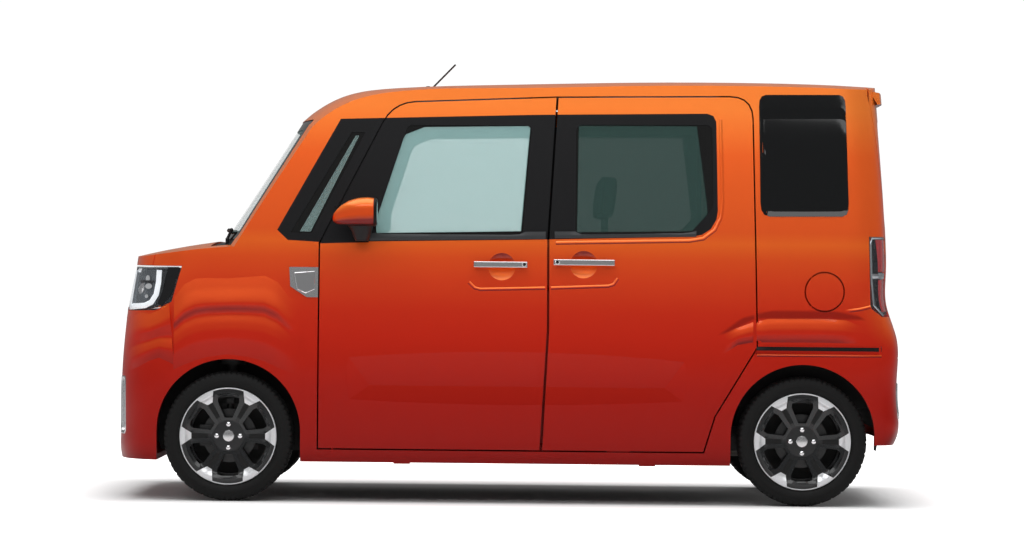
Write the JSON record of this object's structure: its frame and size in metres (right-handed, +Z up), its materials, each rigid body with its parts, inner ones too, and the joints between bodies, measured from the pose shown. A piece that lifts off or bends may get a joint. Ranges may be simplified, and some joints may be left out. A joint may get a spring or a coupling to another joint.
{
  "type": "tall-bodied kei car",
  "caption": "Small tall-bodied family car with hinged front doors, sliding rear doors, bonnet, tailgate, steered front wheels and a hollow cabin.",
  "frame": {"origin": "on the ground, under the centre of the length and width of the car", "axes": "+X forward, +Y to the left side of the car, +Z up"},
  "size_m": [3.4055, 1.7856, 1.9212],
  "materials": {
    "paint": "metallic orange clear-coated paint",
    "clear_glass": "clear window glass",
    "privacy_glass": "dark tinted window glass",
    "bright_trim": "bright satin plating",
    "black_plastic": "moulded black plastic",
    "lamp_lens": "clear lamp lens over bright reflectors",
    "cabin_plastic": "grained dark cabin plastic",
    "seat_fabric": "dark woven seat fabric",
    "underbody": "dark sealed underbody sheet",
    "casting": "cast engine metal",
    "chassis_steel": "black chassis paint",
    "exhaust_steel": "dull exhaust steel",
    "tyre_rubber": "black tyre rubber",
    "plate_white": "blank white plate enamel",
    "wheel_alloy": "machined and painted alloy"
  },
  "bodies": {
    "body": {"aerial": "black_plastic", "bumper_lamps": "lamp_lens", "cowl_panel": "black_plastic", "dashboard": "cabin_plastic", "engine_block": "casting", "exhaust": "exhaust_steel", "fender_left": "paint", "fender_right": "paint", "floor_pan": "underbody", "front_bumper": "paint", "front_seats": "seat_fabric", "front_suspension": "chassis_steel", "fuel_tank": "black_plastic", "grille": "black_plastic", "headlamps": "lamp_lens", "licence_plates": "plate_white", "quarter_glass_front": "clear_glass", "quarter_glass_rear": "privacy_glass", "rear_axle": "chassis_steel", "rear_bumper": "paint", "rear_door_glass": "privacy_glass", "rear_door_handles": "bright_trim", "rear_door_left": "paint", "rear_door_right": "paint", "rear_seat": "seat_fabric", "roof_panel": "paint", "side_frame_left": "paint", "side_frame_right": "paint", "tail_lamps": "lamp_lens", "windscreen": "clear_glass", "wing_garnishes": "bright_trim", "wipers": "black_plastic"},
    "front_door_left": {"front_door_left": "paint", "front_door_glass_left": "clear_glass", "mirror_left": "paint", "front_door_handle_left": "bright_trim"},
    "front_door_right": {"front_door_right": "paint", "front_door_glass_right": "clear_glass", "mirror_right": "paint", "front_door_handle_right": "bright_trim"},
    "bonnet": {"bonnet": "paint"},
    "tailgate": {"tailgate": "paint", "tailgate_glass": "privacy_glass"},
    "fuel_lid": {"fuel_lid": "paint"},
    "steering_wheel": {"steering_wheel": "cabin_plastic"},
    "knuckle_left": {"knuckle_left": "chassis_steel"},
    "knuckle_right": {"knuckle_right": "chassis_steel"},
    "wheel_front_left": {"tyre_front_left": "tyre_rubber", "rim_front_left": "wheel_alloy"},
    "wheel_front_right": {"tyre_front_right": "tyre_rubber", "rim_front_right": "wheel_alloy"},
    "wheel_rear_left": {"tyre_rear_left": "tyre_rubber", "rim_rear_left": "wheel_alloy"},
    "wheel_rear_right": {"tyre_rear_right": "tyre_rubber", "rim_rear_right": "wheel_alloy"}
  },
  "joints": [
    {"name": "steer_left", "type": "hinge", "parent": "body", "child": "knuckle_left", "pos_m": [1.1925, 0.6, 0.278], "axis": [0, 0, 1], "range_deg": [-35, 35]},
    {"name": "steer_right", "type": "hinge", "parent": "body", "child": "knuckle_right", "pos_m": [1.1925, -0.6, 0.278], "axis": [0, 0, 1], "range_deg": [-35, 35]},
    {"name": "wheel_front_left_spin", "type": "hinge", "parent": "knuckle_left", "child": "wheel_front_left", "pos_m": [1.1925, 0.645, 0.278], "axis": [0, 1, 0], "continuous": true},
    {"name": "wheel_front_right_spin", "type": "hinge", "parent": "knuckle_right", "child": "wheel_front_right", "pos_m": [1.1925, -0.645, 0.278], "axis": [0, 1, 0], "continuous": true},
    {"name": "wheel_rear_left_spin", "type": "hinge", "parent": "body", "child": "wheel_rear_left", "pos_m": [-1.2625, 0.6375, 0.278], "axis": [0, 1, 0], "continuous": true},
    {"name": "wheel_rear_right_spin", "type": "hinge", "parent": "body", "child": "wheel_rear_right", "pos_m": [-1.2625, -0.6375, 0.278], "axis": [0, 1, 0], "continuous": true},
    {"name": "steering_wheel_turn", "type": "hinge", "parent": "body", "child": "steering_wheel", "pos_m": [0.6, -0.33, 0.985], "axis": [-0.8829, 0, 0.4695], "range_deg": [-525, 525]},
    {"name": "front_door_left_swing", "type": "hinge", "parent": "body", "child": "front_door_left", "pos_m": [0.74707, 0.71043, 0.23121], "axis": [0, 0.0153, -0.9999], "range_deg": [0, 65]},
    {"name": "front_door_right_swing", "type": "hinge", "parent": "body", "child": "front_door_right", "pos_m": [0.74707, -0.71043, 0.23121], "axis": [0, 0.0153, 0.9999], "range_deg": [0, 65]},
    {"name": "bonnet_lift", "type": "hinge", "parent": "body", "child": "bonnet", "pos_m": [1.29019, 0, 1.10398], "axis": [0, -1, 0], "range_deg": [0, 52]},
    {"name": "tailgate_lift", "type": "hinge", "parent": "body", "child": "tailgate", "pos_m": [-1.5505, 0, 1.81491], "axis": [0, 1, 0], "range_deg": [0, 80]},
    {"name": "fuel_lid_swing", "type": "hinge", "parent": "body", "child": "fuel_lid", "pos_m": [-1.294, 0.72317, 0.85407], "axis": [0, 0.0643, -0.9979], "range_deg": [0, 90]}
  ],
  "couplings": [
    {"joint": "steer_right", "follows": "steer_left", "ratio": 1},
    {"joint": "steering_wheel_turn", "follows": "steer_left", "ratio": 15}
  ]
}
